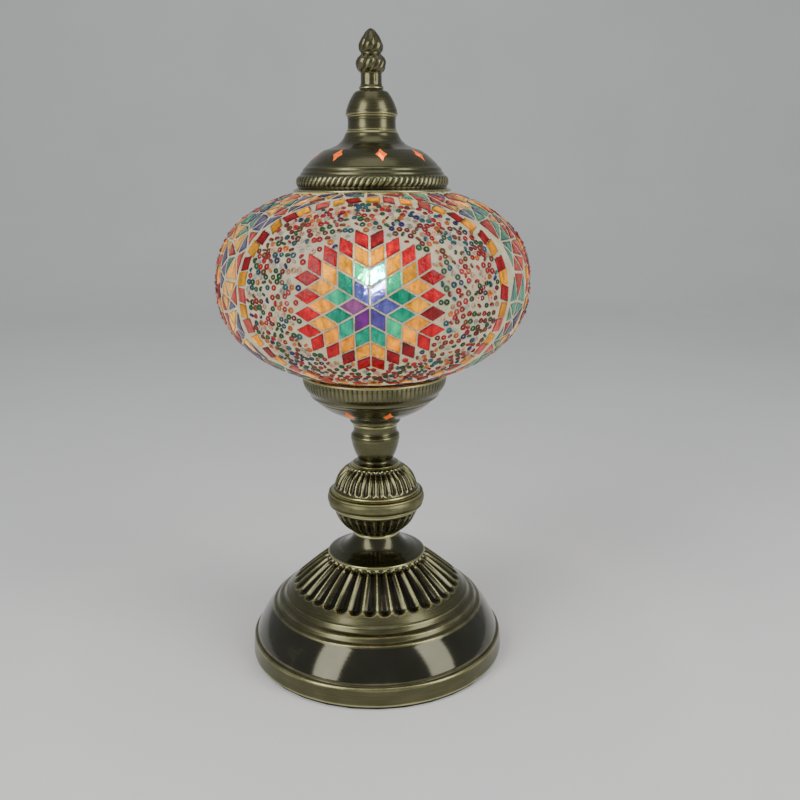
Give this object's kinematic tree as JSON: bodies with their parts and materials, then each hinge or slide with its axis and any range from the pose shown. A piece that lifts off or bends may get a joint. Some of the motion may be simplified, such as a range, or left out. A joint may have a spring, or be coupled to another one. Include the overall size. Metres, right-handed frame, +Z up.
{
  "type": "mosaic glass table lamp",
  "caption": "Table lamp with a fluted brass stand, a flattened blown-glass globe covered in coloured mosaic, and a pierced lift-off cap with a leafy finial.",
  "frame": {"origin": "centre of the lamp's underside, on the surface it stands on", "axes": "+Z up along the lamp's turned axis, -Y is the front"},
  "size_m": [0.2104, 0.2104, 0.43],
  "materials": {
    "antique_brass": "antique olive-brown patina, polished on the raised lines",
    "plated_steel": "zinc plated",
    "bright_brass": "plain turned brass",
    "nickel": "satin nickel",
    "black_rubber": "matt",
    "black_resin": "moulded phenolic",
    "white_ceramic": "glazed ceramic",
    "clear_glass": "blown clear glass",
    "mosaic_glass": "coloured cathedral glass tiles and ring beads in pale grout",
    "filament_wire": "glowing wire"
  },
  "bodies": {
    "stand": {"base_pad": "black_rubber", "base_shell": "antique_brass", "bottom_plate": "plated_steel", "cord_grommet": "black_resin", "base_saucer": "antique_brass", "ball_lower": "antique_brass", "ball_band": "antique_brass", "ball_upper": "antique_brass", "neck_column": "antique_brass", "globe_cup": "antique_brass", "cup_seat_ring": "black_rubber", "centre_tube": "plated_steel", "base_washer": "plated_steel", "base_nut": "plated_steel", "cup_washer": "plated_steel", "cup_nut": "plated_steel", "clamp_gasket": "black_rubber", "clamp_plate": "bright_brass", "clamp_nut": "plated_steel", "globe_glass": "clear_glass", "mosaic_skin": "mosaic_glass", "lampholder_cap": "black_resin", "lampholder_shell": "black_resin", "lampholder_core": "white_ceramic", "lampholder_thread": "bright_brass", "lampholder_contact": "bright_brass"},
    "cap": {"cap_dome": "antique_brass", "cap_sleeve": "antique_brass", "cap_bell": "antique_brass", "cap_nut": "plated_steel"},
    "finial_rise": {"finial_washer": "black_rubber"},
    "finial_turn": {"finial": "antique_brass"},
    "bulb_rise": {"bulb_contact": "nickel"},
    "bulb_turn": {"bulb_insulator": "black_resin", "bulb_screw_cap": "nickel", "bulb_glass": "clear_glass", "bulb_stem": "clear_glass", "bulb_filament": "filament_wire"}
  },
  "joints": [
    {"name": "cap_lift", "type": "slide", "parent": "stand", "child": "cap", "axis": [0, 0, 1], "range_m": [0, 0.12]},
    {"name": "finial_rise", "type": "slide", "parent": "cap", "child": "finial_rise", "axis": [0, 0, 1], "range_m": [0, 0.0064]},
    {"name": "finial_turn", "type": "hinge", "parent": "finial_rise", "child": "finial_turn", "pos_m": [0, 0, 0.3932], "axis": [0, 0, 1], "range_deg": [0, 2881]},
    {"name": "bulb_rise", "type": "slide", "parent": "stand", "child": "bulb_rise", "axis": [0, 0, 1], "range_m": [0, 0.00987]},
    {"name": "bulb_turn", "type": "hinge", "parent": "bulb_rise", "child": "bulb_turn", "pos_m": [0, 0, 0.2312], "axis": [0, 0, 1], "range_deg": [0, 1261]}
  ],
  "couplings": [
    {"joint": "finial_turn", "follows": "finial_rise", "rad_per_m": 7854},
    {"joint": "bulb_turn", "follows": "bulb_rise", "rad_per_m": 2228.1}
  ]
}
